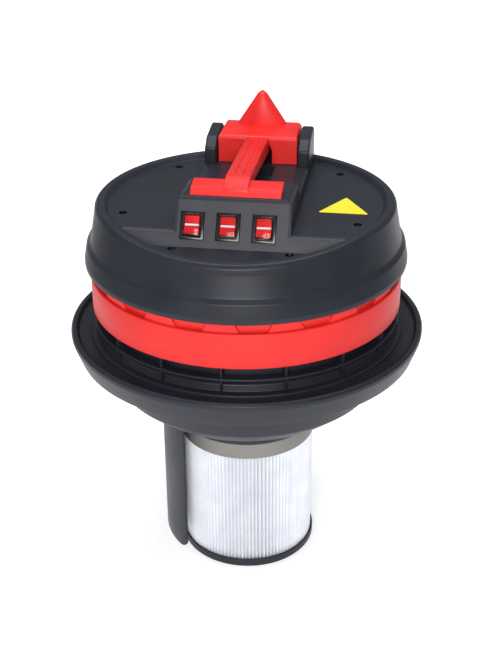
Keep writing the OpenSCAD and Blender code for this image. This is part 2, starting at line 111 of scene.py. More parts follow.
def tidy_faces(piece):
    choose(piece)
    bpy.ops.object.mode_set(mode="EDIT")
    bpy.ops.mesh.select_all(action="SELECT")
    bpy.ops.mesh.remove_doubles(threshold=0.00001)
    bpy.ops.mesh.normals_make_consistent(inside=False)
    bpy.ops.object.mode_set(mode="OBJECT")
    return piece


def cut_away(piece, cutter):
    apply_modifier(piece, "BOOLEAN", operation="DIFFERENCE", object=cutter, solver="EXACT")
    bpy.data.objects.remove(cutter)
    return piece


def rounded(points, steps=5):
    """Outline with its corners rounded. A point is (x, y) or (x, y, radius), in millimetres."""
    out = []
    count = len(points)
    for i, p in enumerate(points):
        r = p[2] if len(p) > 2 else 0.0
        here = Vector(p[:2])
        before = Vector(points[i - 1][:2]) - here
        after = Vector(points[(i + 1) % count][:2]) - here
        if r <= 0 or before.length < 1e-6 or after.length < 1e-6:
            out.append(here)
            continue
        half = before.angle(after) / 2
        reach = min(r / math.tan(half), before.length * 0.49, after.length * 0.49)
        r = reach * math.tan(half)
        a, b = here + before.normalized() * reach, here + after.normalized() * reach
        middle = (before.normalized() + after.normalized()).normalized()
        centre = here + middle * (r / math.sin(half))
        start, end = a - centre, b - centre
        for k in range(steps + 1):
            mix = start.lerp(end, k / steps)
            out.append(centre + mix.normalized() * r)
    return out


def lathe(name, outline, segments=160, steps=5):
    """Spins a closed outline of (radius, height) points about the drum's axis."""
    ring = rounded(outline, steps)
    bpy.ops.mesh.primitive_circle_add(vertices=len(ring), radius=1, fill_type="NOTHING")
    piece = current()
    for v, p in zip(piece.data.vertices, ring):
        v.co = (p.x * MM, 0, p.y * MM)
    piece.name = name
    bpy.ops.object.mode_set(mode="EDIT")
    bpy.ops.mesh.select_all(action="SELECT")
    bpy.ops.mesh.spin(steps=segments, angle=math.radians(360), center=(0, 0, 0), axis=(0, 0, 1))
    bpy.ops.object.mode_set(mode="OBJECT")
    return tidy_faces(piece)


def flat_face(name, points):
    """One face through the points, which are in metres."""
    bpy.ops.mesh.primitive_circle_add(vertices=len(points), radius=1, fill_type="NGON")
    piece = current()
    for v, p in zip(piece.data.vertices, points):
        v.co = p
    piece.name = name
    return piece


def draw_out(piece, by):
    """Draws a flat face out into a solid, by a vector in metres."""
    bpy.ops.object.mode_set(mode="EDIT")
    bpy.ops.mesh.select_all(action="SELECT")
    bpy.ops.mesh.extrude_region_move(TRANSFORM_OT_translate={"value": by})
    bpy.ops.object.mode_set(mode="OBJECT")
    return piece


def prism(name, outline, x0, x1, steps=5):
    """Side view outline of (y, z) points, drawn out along X from x0 to x1."""
    face = flat_face(name, [(x0 * MM, p.x * MM, p.y * MM) for p in rounded(outline, steps)])
    return tidy_faces(draw_out(face, ((x1 - x0) * MM, 0, 0)))


def front_prism(name, outline, y0, y1, steps=6):
    """Front view outline of (x, z) points, drawn out along Y from y0 to y1."""
    piece = prism(name, outline, y0, y1, steps=steps)
    for v in piece.data.vertices:
        v.co = (v.co.y, v.co.x, v.co.z)
    return tidy_faces(piece)


def keep_common(piece, other):
    apply_modifier(piece, "BOOLEAN", operation="INTERSECT", object=other, solver="EXACT")
    bpy.data.objects.remove(other)
    return piece


def block(name, x0, x1, y0, y1, z0, z1):
    bpy.ops.mesh.primitive_cube_add(
        size=1, location=((x0 + x1) / 2 * MM, (y0 + y1) / 2 * MM, (z0 + z1) / 2 * MM))
    piece = current()
    piece.name = name
    piece.scale = ((x1 - x0) * MM, (y1 - y0) * MM, (z1 - z0) * MM)
    return settle(piece)


def rod(name, x, y, z0, z1, radius, sides=32):
    bpy.ops.mesh.primitive_cylinder_add(
        vertices=sides, radius=radius * MM, depth=(z1 - z0) * MM,
        location=(x * MM, y * MM, (z0 + z1) / 2 * MM))
    current().name = name
    return settle(current())


def turned_copy(piece, degrees):
    copy = piece.copy()
    copy.data = piece.data.copy()
    bpy.context.collection.objects.link(copy)
    copy.data.transform(Matrix.Rotation(math.radians(degrees), 4, "Z"))
    return copy


def round_the_drum(name, piece, count, first=0.0):
    """Repeats a piece evenly round the drum's axis."""
    made = [turned_copy(piece, first + i * 360 / count) for i in range(count)]
    bpy.data.objects.remove(piece)
    return join(name, made)


def finish_piece(piece, body, slot, material, *nodes):
    piece.data.materials.clear()
    piece.data.materials.append(material)
    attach(piece, body)
    if nodes:
        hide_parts(*nodes)
    return piece


# ---- Finishes ----------------------------------------------------------------------

def colour(code):
    """sRGB hex to linear."""
    parts = [int(code[i:i + 2], 16) / 255 for i in (1, 3, 5)]
    return [c / 12.92 if c <= 0.04045 else ((c + 0.055) / 1.055) ** 2.4 for c in parts] + [1.0]


def add(tree, kind, inputs=None, **settings):
    """Adds a node. An input is a value or another node's output."""
    node = tree.nodes.new(kind)
    for key, value in settings.items():
        setattr(node, key, value)
    for key, value in (inputs or {}).items():
        if isinstance(value, bpy.types.NodeSocket):
            tree.links.new(value, node.inputs[key])
        else:
            node.inputs[key].default_value = value
    return node


def start_material(name, base, roughness, metallic=0.0, ior=1.5, **sockets):
    m = bpy.data.materials.new(name)
    m.use_nodes = True
    tree = m.node_tree
    shader = tree.nodes["Principled BSDF"]
    shader.inputs["Base Color"].default_value = colour(base)
    shader.inputs["Roughness"].default_value = roughness
    shader.inputs["Metallic"].default_value = metallic
    if not metallic:
        shader.inputs["IOR"].default_value = ior
    for key, value in sockets.items():
        shader.inputs[key.replace("_", " ")].default_value = value
    where = add(tree, "ShaderNodeTexCoord").outputs["Object"]
    return m, tree, shader, where


def two_tone(tree, shader, factor, dark, light, low=0.0, high=1.0):
    """Base colour that runs from dark to light over a factor."""
    tint = add(tree, "ShaderNodeValToRGB", {"Fac": factor})
    for stop, place, code in zip(tint.color_ramp.elements, (low, high), (dark, light)):
        stop.position = place
        stop.color = colour(code)
    tree.links.new(tint.outputs["Color"], shader.inputs["Base Color"])


def raised(tree, shader, height, strength, depth_mm):
    bump = add(tree, "ShaderNodeBump",
               {"Height": height, "Strength": strength, "Distance": depth_mm * MM})
    tree.links.new(bump.outputs["Normal"], shader.inputs["Normal"])


def varied_gloss(tree, shader, factor, low, high, **span):
    gloss = add(tree, "ShaderNodeMapRange",
                {"Value": factor, "To Min": low, "To Max": high,
                 **{key.replace("_", " "): value for key, value in span.items()}})
    tree.links.new(gloss.outputs["Result"], shader.inputs["Roughness"])


def moulded(name, dark, light, roughness, grain_mm, grain_depth, handling=0.06, **sockets):
    """Injection-moulded plastic: eroded grain, slow colour drift and softer, handled patches."""
    m, tree, shader, where = start_material(name, dark, roughness, **sockets)
    drift = add(tree, "ShaderNodeTexNoise", {"Vector": where, "Scale": 1 / 0.060, "Detail": 3.0})
    grain = add(tree, "ShaderNodeTexNoise",
                {"Vector": where, "Scale": 1 / (grain_mm * MM), "Detail": 2.0, "Roughness": 0.6})
    blend = add(tree, "ShaderNodeMath", {0: drift.outputs["Fac"], 1: grain.outputs["Fac"]},
                operation="MULTIPLY")
    two_tone(tree, shader, blend.outputs[0], dark, light, 0.12, 0.42)
    varied_gloss(tree, shader, drift.outputs["Fac"], roughness - handling, roughness + handling,
                 From_Min=0.3, From_Max=0.7)
    raised(tree, shader, grain.outputs["Fac"], 0.5, grain_depth)
    return m


def spun_metal(name, dark, light, roughness, line_mm):
    """Metal with fine tool lines that run round the motor's axis."""
    m, tree, shader, where = start_material(name, dark, roughness, metallic=1.0)
    lines = add(tree, "ShaderNodeMapping",
                {"Vector": where, "Scale": (20.0, 20.0, 1 / (line_mm * MM))})
    marks = add(tree, "ShaderNodeTexNoise",
                {"Vector": lines.outputs["Vector"], "Scale": 1.0, "Detail": 2.0})
    two_tone(tree, shader, marks.outputs["Fac"], dark, light)
    varied_gloss(tree, shader, marks.outputs["Fac"], roughness - 0.08, roughness + 0.1)
    return m


def soft_sheet(name, dark, light, roughness, fibre_mm, depth, sheen=0.3):
    """Felt, foam or filter cloth: matte, with short fibres and a light sheen."""
    m, tree, shader, where = start_material(name, dark, roughness, Sheen_Weight=sheen,
                                            Specular_IOR_Level=0.25)
    fibres = add(tree, "ShaderNodeTexNoise",
                 {"Vector": where, "Scale": 1 / (fibre_mm * MM), "Detail": 5.0})
    clouds = add(tree, "ShaderNodeTexNoise", {"Vector": where, "Scale": 1 / 0.025, "Detail": 2.0})
    both = add(tree, "ShaderNodeMath", {0: fibres.outputs["Fac"], 1: clouds.outputs["Fac"]},
               operation="MULTIPLY")
    two_tone(tree, shader, both.outputs[0], dark, light, 0.12, 0.4)
    raised(tree, shader, fibres.outputs["Fac"], 0.6, depth)
    return m


def wavy_film(name, base):
    """Clear soft film whose face is slightly wavy."""
    m, tree, shader, where = start_material(name, base, 0.05, ior=1.2, Transmission_Weight=1.0)
    waves = add(tree, "ShaderNodeTexNoise", {"Vector": where, "Scale": 1 / 0.007, "Detail": 1.0})
    raised(tree, shader, waves.outputs["Fac"], 0.25, 0.6)
    return m


def light_table(name):
    """White acrylic lit from below, dim at both sides of the piece so that its flanks stay dark."""
    m, tree, shader, where = start_material(name, "#fbfbfb", 0.9)
    place = add(tree, "ShaderNodeSeparateXYZ", {"Vector": where})
    side = add(tree, "ShaderNodeMath", {0: place.outputs["X"]}, operation="ABSOLUTE")
    near = add(tree, "ShaderNodeMapRange",
               {"Value": side.outputs[0], "From Min": 0.75, "From Max": 1.3,
                "To Min": 1.0, "To Max": 0.0})
    far = add(tree, "ShaderNodeMapRange",
              {"Value": place.outputs["Y"], "From Min": 0.9, "From Max": 1.6,
               "To Min": 0.0, "To Max": 1.0})
    lit = add(tree, "ShaderNodeMath", {0: near.outputs["Result"], 1: far.outputs["Result"]},
              operation="MAXIMUM")
    glow = add(tree, "ShaderNodeMath", {0: lit.outputs[0], 1: 0.5}, operation="MULTIPLY")
    power = add(tree, "ShaderNodeMath", {0: far.outputs["Result"], 1: 0.35, 2: glow.outputs[0]},
                operation="MULTIPLY_ADD")
    shader.inputs["Emission Color"].default_value = (1, 1, 1, 1)
    tree.links.new(power.outputs[0], shader.inputs["Emission Strength"])
    # Painted shade: the floor's colour follows the same mask, turning grey where its glow is dim.
    two_tone(tree, shader, lit.outputs[0], "#98989b", "#fbfbfb")
    return m


# Black ABS, moulded with a fine satin grain of about 0.8 mm, drawn coarse enough to show.
black_abs = moulded("moulded black ABS", "#1d1f26", "#282a33", 0.42, 0.8, 0.035, ior=1.38)
# The switch panel's mould was eroded deeper, for a coarser grain; its lighter purple-grey colour is
# a painted sheen, the light that the sloping face catches.
panel_abs_painted_sheen = moulded("eroded black ABS panel with painted sheen", "#26262d", "#393942", 0.46, 1.1, 0.09, 0.03)
# Red ABS with a satin polish.
red_abs = moulded("moulded red ABS", "#df2320", "#f23430", 0.42, 0.7, 0.02, ior=1.38)
# Glossy black nylon of the switch bodies.
switch_nylon = moulded("glossy black nylon", "#0e0f11", "#17181b", 0.22, 0.5, 0.01, 0.04)
# Lit red acrylic of the rockers.
rocker_acrylic = moulded("red rocker acrylic", "#d80f0c", "#ee1d15", 0.2, 0.6, 0.008, 0.03)
# Painted highlight: the white strip along each rocker's fold stands in for the splash cap's
# highlight there.
rocker_painted_highlight = moulded("painted highlight on rocker fold", "#e9e9ec", "#ffffff", 0.35, 0.5, 0.01, 0.02)
dark_nylon = moulded("dark grey glass-filled nylon", "#34363b", "#43454b", 0.5, 0.6, 0.03)
collar_polyurethane = moulded("grey cast polyurethane", "#77756f", "#8c8a84", 0.6, 0.9, 0.02)
white_nylon = moulded("natural white polypropylene", "#e4e4de", "#f4f4ef", 0.42, 0.7, 0.015)
black_rubber = moulded("black nitrile rubber", "#17181a", "#232427", 0.7, 0.5, 0.03)
carbon_black = moulded("pressed carbon", "#232325", "#3a3a3d", 0.65, 0.4, 0.03)
sticker_film = moulded("printed yellow film", "#f7e51f", "#fff03c", 0.3, 0.6, 0.004, 0.03)
ink_black = moulded("printed black edge", "#1d1c17", "#2a2922", 0.4, 0.6, 0.004, 0.02)
zinc_steel = spun_metal("zinc-plated steel", "#9a9ca0", "#c9cbd0", 0.34, 0.25)
pressed_steel = spun_metal("pressed plated steel", "#a9abb0", "#d0d2d6", 0.3, 0.4)
laminations = spun_metal("stacked electrical steel", "#5d6066", "#8b8e95", 0.48, 0.5)
turned_aluminium = spun_metal("pressed aluminium", "#bfc1c5", "#dfe1e5", 0.3, 0.3)
enamel_copper = spun_metal("enamelled copper wire", "#8f4a1f", "#c8763c", 0.32, 0.6)
filter_cloth = soft_sheet("pleated polyester filter cloth", "#e9ebf2", "#f8f9fc", 0.85, 0.5, 0.05)
open_foam = soft_sheet("open-cell foam", "#3e4046", "#62656d", 0.95, 1.2, 0.4, 0.1)

# Clear soft PVC of the splash caps, thin enough to hide little of the rockers.
clear_pvc = wavy_film("clear soft PVC", "#fbfbfd")


# ---- Camera, light and floor -------------------------------------------------------

CAMERA_PLACE = Vector((0.2042, -1.2933, 0.9888))
CAMERA_BACK = Vector((0.13583, -0.87793, 0.45912))
CAMERA_ROLL = 0.42              # degrees

camera = bpy.data.objects.new("camera", bpy.data.cameras.new("camera"))
bpy.context.collection.objects.link(camera)
camera.data.sensor_width = 36
camera.data.lens = 64.93
camera.data.clip_end = 50
back = CAMERA_BACK.normalized()
level = Vector((-CAMERA_BACK.y, CAMERA_BACK.x, 0)).normalized()
right = (level - Vector((0, 0, math.sin(math.radians(CAMERA_ROLL))))).normalized()
up = back.cross(right).normalized()
right = up.cross(back).normalized()
turn = Matrix((right, up, back)).transposed().to_4x4()
camera.matrix_world = Matrix.Translation(CAMERA_PLACE) @ turn
bpy.context.scene.camera = camera
bpy.context.scene.view_settings.view_transform = "Standard"


def lamp(name, place, target, size, power, tone=(1, 1, 1)):
    light = bpy.data.lights.new(name, "AREA")
    light.shape = "RECTANGLE"
    light.size, light.size_y = size
    light.energy = power
    light.color = tone
    o = bpy.data.objects.new(name, light)
    bpy.context.collection.objects.link(o)
    o.location = place
    o.rotation_euler = (Vector(target) - Vector(place)).to_track_quat("-Z", "Y").to_euler()
    return o


lamp("overhead softbox", (0.0, 0.2, 2.3), (0, 0, 0.45), (1.7, 1.2), 30, (0.93, 0.96, 1.0))
lamp("front softbox", (0.2, -2.3, 1.35), (0, 0, 0.4), (1.0, 0.8), 39)
lamp("left strip", (-1.7, -0.7, 0.9), (0, 0, 0.4), (0.4, 1.4), 2)

world = bpy.data.worlds.new("white studio")
bpy.context.scene.world = world
world.use_nodes = True
world.node_tree.nodes["Background"].inputs["Color"].default_value = (0.92, 0.95, 1.0, 1)
world.node_tree.nodes["Background"].inputs["Strength"].default_value = 0.3

bpy.ops.mesh.primitive_plane_add(size=14, location=(0, 0, -0.0005))
floor = current()
floor.name = "studio_floor"
floor.data.materials.append(light_table("lit white acrylic"))


# ---- Tank lid and intake bowl ------------------------------------------------------

lid = lathe("tank_lid_moulding", [
    (176.8, 315.5), (205.5, 315.5), (205.3, 294.4, 0.8), (209.3, 294.4, 1.5),
    (213.5, 306, 8), (217.9, 318.5, 4), (217.9, 323.5, 3), (215, 326.5, 2.5), (210.5, 325.5, 2.5),
    (208.3, 319.5, 2.0), (176.8, 319.5, 0.5)], segments=200, steps=6)
finish_piece(smooth(lid, 40), "power_head", "black_plastic", black_abs, "tank_lid")

bowl = lathe("intake_bowl_moulding", [
    (188, 315.4, 0.6), (188, 311.5, 1), (181, 311.5, 1), (180, 298), (178, 290, 10),
    (164.6, 250.4, 9), (137.7, 227.7, 12), (94.5, 214, 3), (92.5, 208, 2), (92.5, 196),
    (91, 192, 1), (88.5, 192, 1), (88.5, 206), (34, 206, 0.8), (34, 210, 0.8), (87.5, 210),
    (91.5, 216.5, 3), (135.4, 230.6, 12), (161.6, 252.6, 8), (174.6, 291.5, 8), (176.6, 298.5),
    (177, 315.4)],
    segments=180)
finish_piece(smooth(bowl, 40), "power_head", "black_plastic", black_abs, "intake_bowl")


# ---- Motor housing with its ribs ---------------------------------------------------

drum = lathe("housing_drum", [
    (1.5, 298), (175.9, 298, 1), (175.9, 319.5), (193.2, 319.5), (193.2, 323, 1.4),
    (184, 323, 1), (182, 331, 3), (176, 334.5, 4), (176, 337.5), (188.3, 337.5, 1.2),
    (188.3, 341, 1.2), (176, 341), (176, 422.8), (172.5, 422.8), (172.5, 302), (1.5, 302)],
    segments=192)
for angle in MOTOR_ANGLES:
    a = math.radians(angle)
    cut_away(drum, rod("intake_hole", MOTOR_PITCH * math.cos(a), MOTOR_PITCH * math.sin(a),
                       290, 308, 30, 64))
lower_rib = soften(block("rib", 175, 187, -1.5, 1.5, 322.5, 338.5), 0.8, 3)
upper_rib = soften(block("rib", 175, 186.2, -1.6, 1.6, 340.3, 395), 0.8, 3)
rib_pair = join("rib", [lower_rib, upper_rib])
ribs = round_the_drum("housing_ribs", rib_pair, RIBS, -90)
housing = join("motor_housing_moulding", [drum, ribs])
finish_piece(smooth(housing, 40), "power_head", "black_plastic", black_abs, "motor_housing")


# ---- Red exhaust ring --------------------------------------------------------------

band = lathe("ring_band", [
    (186.5, 354.5, 0.5), (188.9, 354.5, 1.2), (188.9, 397.6, 1.6), (183, 397.6), (183, 417.8),
    (180.6, 417.8), (180.6, 395.1), (186.5, 395.1)], segments=192)


def arc_plate(name, outline, inner, outer, parts):
    """A plate bent round the drum's axis: the outline is (degrees, height), both in the plate."""
    piece = draw_out(flat_face(name, [(inner * MM, p[0], p[1] * MM) for p in outline]),
                     ((outer - inner) * MM, 0, 0))
    low = min(p[0] for p in outline)
    high = max(p[0] for p in outline)
    for k in range(1, parts):
        y = low + (high - low) * k / parts
        bpy.ops.object.mode_set(mode="EDIT")
        bpy.ops.mesh.select_all(action="SELECT")
        bpy.ops.mesh.bisect(plane_co=(0, y, 0), plane_no=(0, 1, 0))
        bpy.ops.object.mode_set(mode="OBJECT")
    for v in piece.data.vertices:
        r, a, z = v.co.x, math.radians(v.co.y), v.co.z
        v.co = (r * math.cos(a), r * math.sin(a), z)
    return tidy_faces(piece)


def wide_corners(outline, per_degree):
    """Rounds an outline whose first number is degrees, as if it were in millimetres."""
    flat = [(p[0] * per_degree, p[1]) + tuple(p[2:]) for p in outline]
    return [(p.x / per_degree, p.y) for p in rounded(flat, 7)]


TAB_MM = 3.22                   # one degree round the tabs, in millimetres
tab = arc_plate("tab", wide_corners([
    (-6.6, 396.6), (6.6, 396.6), (4.4, 410.3, 6.0), (-4.4, 410.3, 6.0)], TAB_MM), 182.2, 186.1, 8)
soften(tab, 0.9, 3, 50)
tabs = round_the_drum("ring_tabs", tab, RIBS, -90)
ring = join("exhaust_ring_moulding", [band, tabs])
finish_piece(smooth(ring, 45), "power_head", "red_plastic", red_abs, "exhaust_ring")


# ---- Top cover ---------------------------------------------------------------------

def slope_y(z):
    """Where the switch panel's plane is at height z."""
    return -101 + (z - DECK) * math.tan(LEAN)


cover = lathe("cover_shell", [
    (191.8, 411.4, 0.4), (194.7, 411.4, 1.2), (194.7, 417.5, 3.5), (191.5, 434, 4),
    (186.5, 439.2, 5), (180, 473.8, 5), (179, 481, 4.5), (175.6, 484.5, 3.0),
    (168.3, 484.5, 2.5), (163, 478, 2.5), (1.8, 478), (1.8, 475), (163.4, 475), (163.4, 459.5),
    (180.3, 459.5), (188.3, 431, 3), (191.8, 417, 2)], segments=220, steps=6)
# Under the console the deck is open for the switches.
cut_away(cover, block("deck_room", -60, 60, slope_y(DECK) + 4, -50, 472, 480))


def fall(y):
    """How far the front rim's top has come down at y, in millimetres."""
    return max(0.0, RIM_FALL_Y - y) * RIM_DROP / RIM_RUN


# The top of the front rim falls towards the front.
for v in cover.data.vertices:
    high = min(1.0, max(0.0, (v.co.z / MM - RIM_FOOT) / RIM_TALL))
    v.co.z -= fall(v.co.y / MM) * high * MM
scoop = lathe("ledge_cut", [
    (1.6, LEDGE), (163.9, LEDGE), (164.1, 479.5), (164.8, 482.3), (166.4, 484.0), (169.5, 484.6),
    (169.5, 496), (1.6, 496)], segments=160)
for v in scoop.data.vertices:
    if v.co.z > 470 * MM:
        v.co.z -= fall(v.co.y / MM) * MM
# The scoop works only in front of the panel's plane.
cut_away(scoop, prism("rear_stop", [
    (slope_y(400), 400), (slope_y(560), 560), (300, 560), (300, 400)], -WIDE, WIDE))
cut_away(cover, scoop)
# Panel skin on both sides of the console, down to the ledge.
panel_skin = prism("wing_panel", [
    (slope_y(461) - 0.15, 461), (slope_y(DECK) - 0.15, DECK + 0.05, 2.5),
    (slope_y(DECK) + 6, DECK + 0.05), (slope_y(DECK) + 6, 474), (slope_y(461) + 3.5, 461)],
    -127, 127)
ledge_plate = lathe("ledge_floor", [
    (1.8, LEDGE - 3), (164.6, LEDGE - 3), (164.6, LEDGE), (1.8, LEDGE)])
cut_away(ledge_plate, prism("ledge_back", [
    (slope_y(LEDGE) + 2, 440), (slope_y(LEDGE) + 2, 480), (300, 480), (300, 440)], -WIDE, WIDE))
sleeves = []
for x, y, top in COVER_SCREWS:
    target = cover if top == DECK else ledge_plate
    cut_away(target, rod("screw_recess", x, y, top - 8, top + 5, 5.0))
    sleeve = rod("sleeve", x, y, top - 15.5, top - 0.6, 7.6)
    sleeves.append(cut_away(sleeve, rod("sleeve_bore", x, y, top - 12, top + 3, 5.0)))
shelf = lathe("cover_shelf", [(172.8, 423), (190.6, 423), (189.9, 426), (172.8, 426)])
shell = join("top_cover_moulding", [cover, ledge_plate, shelf] + sleeves)
finish_piece(smooth(shell, 34), "power_head", "black_plastic", black_abs, "top_cover")


# ---- Console -----------------------------------------------------------------------

ON_PANEL = Matrix.Translation((0, slope_y(SWITCH_Z) * MM, SWITCH_Z * MM)) @ Matrix.Rotation(
    math.radians(90) - LEAN, 4, "X")


def panel_place(piece, x):
    """Moves a piece built flat at the origin to its place on the sloping panel."""
    piece.data.transform(ON_PANEL)
    piece.data.transform(Matrix.Translation((x * MM, 0, 0)))
    return piece


def cut_switch_holes(piece):
    for x in SWITCH_X:
        cut_away(piece, panel_place(block("switch_hole", -11, 11, -15, 15, -12, 12), x))


box = prism("console_box", [
    (slope_y(468), 468), (slope_y(513), 513, 3.0), (-24, 513, 4), (-9, 491), (-9, 468)],
    -CONSOLE, CONSOLE)
keep_common(box, front_prism("box_front", [
    (-CONSOLE - 2, 460), (CONSOLE + 2, 460), (CONSOLE, 480, 4), (CONSOLE - 1.2, 513.2, 9),
    (1.2 - CONSOLE, 513.2, 9), (-CONSOLE, 480, 4)], -140, 20, 8))
trough = prism("console_trough", [
    (-14, 470), (-14, 492, 0), (157, 492, 3), (158, 470)], -CONSOLE, CONSOLE)
keep_common(trough, front_prism("trough_front", [
    (-CONSOLE - 2, 460), (CONSOLE + 2, 460), (CONSOLE, 479, 4), (CONSOLE - 0.5, 492.2, 5),
    (0.5 - CONSOLE, 492.2, 5), (-CONSOLE, 479, 4)], -40, 200, 6))
cut_away(trough, block("finger_well", -24, 24, 2, 90, 480, 500))
cut_away(box, prism("switch_room", [
    (slope_y(470) + 3.5, 470), (slope_y(508) + 3.5, 508), (-50, 508), (-50, 470)], -60, 60))
cut_switch_holes(box)
cheeks = []
for side in (-1, 1):
    cheek = prism("cheek", [
        (88, 484), (88, 512, 5), (103, 523.5, 12), (143, 528.9, 12), (155.5, 521, 10), (157, 484)],
        *sorted((side * 51.2, side * 65.8)))
    cheeks.append(soften(cheek, 2.6, 4, 40))
console = join("console_moulding", [box, trough] + cheeks)
finish_piece(smooth(console, 34), "power_head", "black_plastic", black_abs)


# ---- Switches ----------------------------------------------------------------------

# The deeper grain of the switch panel, with its painted sheen, is a thin skin on the sloping face.
skin = prism("panel_face", [
    (slope_y(464.2) - 0.25, 464.2), (slope_y(509.5) - 0.25, 509.5), (slope_y(509.5) + 1.0, 509.5),
    (slope_y(464.2) + 1.0, 464.2)], -62.5, 62.5)
for sheet in (skin, panel_skin):
    cut_switch_holes(sheet)
skin = join("sloping_panel", [skin, panel_skin])
finish_piece(smooth(skin, 30), "power_head", "black_plastic", panel_abs_painted_sheen)

for number, cx in enumerate(SWITCH_X, 1):
    frame_ring = soften(block("bezel", -13.8, 13.8, -16.3, 16.3, 0.1, 2.4), 0.9, 3)
    cut_away(frame_ring, soften(block("opening", -10.4, 10.4, -13.6, 13.6, -2, 6), 0.6, 2))
    lower = block("body", -10.6, 10.6, -14.6, 14.6, -19.9, 0.2)
    cut_away(lower, block("cavity", -9.8, 9.8, -13.2, 13.2, -13, 6))
    body = panel_place(join(f"switch_{number}_housing", [frame_ring, lower]), cx)
    finish_piece(smooth(body, 35), "power_head", "switch_black", switch_nylon,
                 f"switch_{number}_body")

    profile = [(-11, 3.2, 1.0), (-1.1, 1.62, 0.3), (1.1, 1.62, 0.3), (11, 3.2, 1.0), (10.6, -3, 2),
               (4, -9, 2), (-4, -9, 2), (-10.6, -3, 2)]
    key = prism("key", profile, -8.6, 8.6, steps=4)
    soften(key, 0.45, 2, 50)
    # The white strip on the rocker's fold is a painted highlight of the splash cap.
    line = soften(block("line", -8.0, 8.0, -1.1, 1.1, 1.3, 2.0), 0.25, 2)
    line.data.materials.append(rocker_painted_highlight)
    pin = block("pin", -10.2, 10.2, -0.8, 0.8, -0.8, 0.8)
    soften(pin, 0.3, 2)
    to_pin = Matrix.Translation((0, 0, -PIN_DEPTH * MM))
    tilt = Matrix.Rotation(math.radians(ROCKER_REST), 4, "X")
    swing = to_pin @ tilt @ to_pin.inverted()
    key.data.transform(swing)
    line.data.transform(swing)
    pin.data.transform(to_pin @ tilt)
    rocker = panel_place(join(f"switch_{number}_key", [key, pin]), cx)
    finish_piece(smooth(rocker, 35), f"rocker_{number}", "rocker_red", rocker_acrylic,
                 f"switch_{number}_rocker")
    panel_place(line, cx)
    line.name = f"switch_{number}_line"
    finish_piece(smooth(line, 35), f"rocker_{number}", "white_plastic", rocker_painted_highlight)

    film = soften(block("film", -9.7, 9.7, -13.1, 13.1, 1.3, 6.5), 1.5, 4)
    cut_away(film, soften(block("inside", -9.15, 9.15, -12.5, 12.5, -3, 5.95), 1.2, 4))
    flange = block("flange", -11.6, 11.6, -14.6, 14.6, 1.25, 2.05)
    cut_away(flange, block("flange_hole", -9.4, 9.4, -12.8, 12.8, 0, 4))
    cap = panel_place(join(f"switch_{number}_splash_cap", [film, flange]), cx)
    finish_piece(smooth(cap, 35), "power_head", "clear_film", clear_pvc, f"switch_{number}_cap")


# ---- Handle ------------------------------------------------------------------------

bar = prism("bar", [(-76.8, 511.7), (-76.8, 513.6, 0.8), (-69.5, 520.6, 2.0), (-49.5, 523.9, 2.2),
                    (-47.2, 521.5, 1), (-47.2, 511.7)], -52, 52)
soften(bar, 1.1, 3, 40)
grip = prism("grip", [
    (-74, 513), (-71.6, 520.6, 3), (-63, 527.5, 6), (-55, 530, 6), (98, 525.2), (98, 506.5),
    (60, 508.3, 12), (-19, 513.6, 6), (-44, 514.5)], -14, 14, steps=6)
for x in (-4.8, 4.8):
    groove = prism("groove", [(-47, 532), (-43, 527.9, 1), (80, 524.4), (96, 524.0), (96, 535),
                              (-47, 535)], x - 1.1, x + 1.1)
    cut_away(grip, groove)
soften(grip, 1.3, 3, 40)
rear = prism("rear_block", [(97, 492.1, 0.5), (97, 526.4, 4.5), (150, 530.9, 5), (155.2, 524, 4),
                            (156, 492.1)], -49.4, 49.4, steps=6)
keep_common(rear, front_prism("rear_front", [
    (-49.4, 480), (49.4, 480), (49.4, 531, 8), (-49.4, 531, 8)], 80, 170, 6))
# The tunnel for the fingers narrows into the block, from its face to its far end.
TUNNEL_FACE, TUNNEL_RUN, TUNNEL_NARROWS = 97, 53, 0.55
tunnel = prism("tunnel", rounded([(-22.6, 480), (22.6, 480), (22.6, 512, 14), (14.2, 520, 3),
                                  (-14.2, 520, 3), (-22.6, 512, 14)], 8), 70, 150)
for v in tunnel.data.vertices:
    along, across, height = v.co
    narrow = 1 - TUNNEL_NARROWS * max(0.0, (along / MM - TUNNEL_FACE)) / TUNNEL_RUN
    v.co = (across * narrow, along, height)
tidy_faces(tunnel)
cut_away(rear, tunnel)
# The horn is a cone that is flattened at its foot and nearly round at its tip.
HORN_FOOT, HORN_TALL, HORN_Y = 529, 39, 143
horn = lathe("horn", [(1.2, 522), (32.5, 522), (32.3, 529), (5.9, 569, 5.5), (1.2, 572.8)],
             segments=96, steps=8)
for v in horn.data.vertices:
    climb = min(1.0, max(0.0, (v.co.z / MM - HORN_FOOT) / HORN_TALL))
    v.co.y = HORN_Y * MM + v.co.y * (0.34 + 0.62 * climb ** 1.6)
handle = join("carry_handle_moulding", [bar, grip, rear, horn])
finish_piece(smooth(handle, 38), "power_head", "red_plastic", red_abs, "carry_handle")


# ---- Sticker -----------------------------------------------------------------------

def triangle(name, grow, z0, z1):
    """Rounded triangle on the deck, scaled about its middle."""
    centre = Vector((118, -5.7))
    corners = [Vector((88, -23)), Vector((148, -23)), Vector((118, 29))]
    outline = [tuple(centre + (c - centre) * grow) + (1.6,) for c in corners]
    face = flat_face(name, [(p.x * MM, p.y * MM, z0 * MM) for p in rounded(outline)])
    return tidy_faces(draw_out(face, (0, 0, (z1 - z0) * MM)))


edge = triangle("sticker_edge", 1.02, DECK + 0.02, DECK + 0.16)
finish_piece(edge, "power_head", "sticker", ink_black, "deck_sticker")
face = triangle("sticker_face", 0.98, DECK + 0.1, DECK + 0.28)
finish_piece(face, "power_head", "sticker", sticker_film)


# ---- Cartridge filter --------------------------------------------------------------

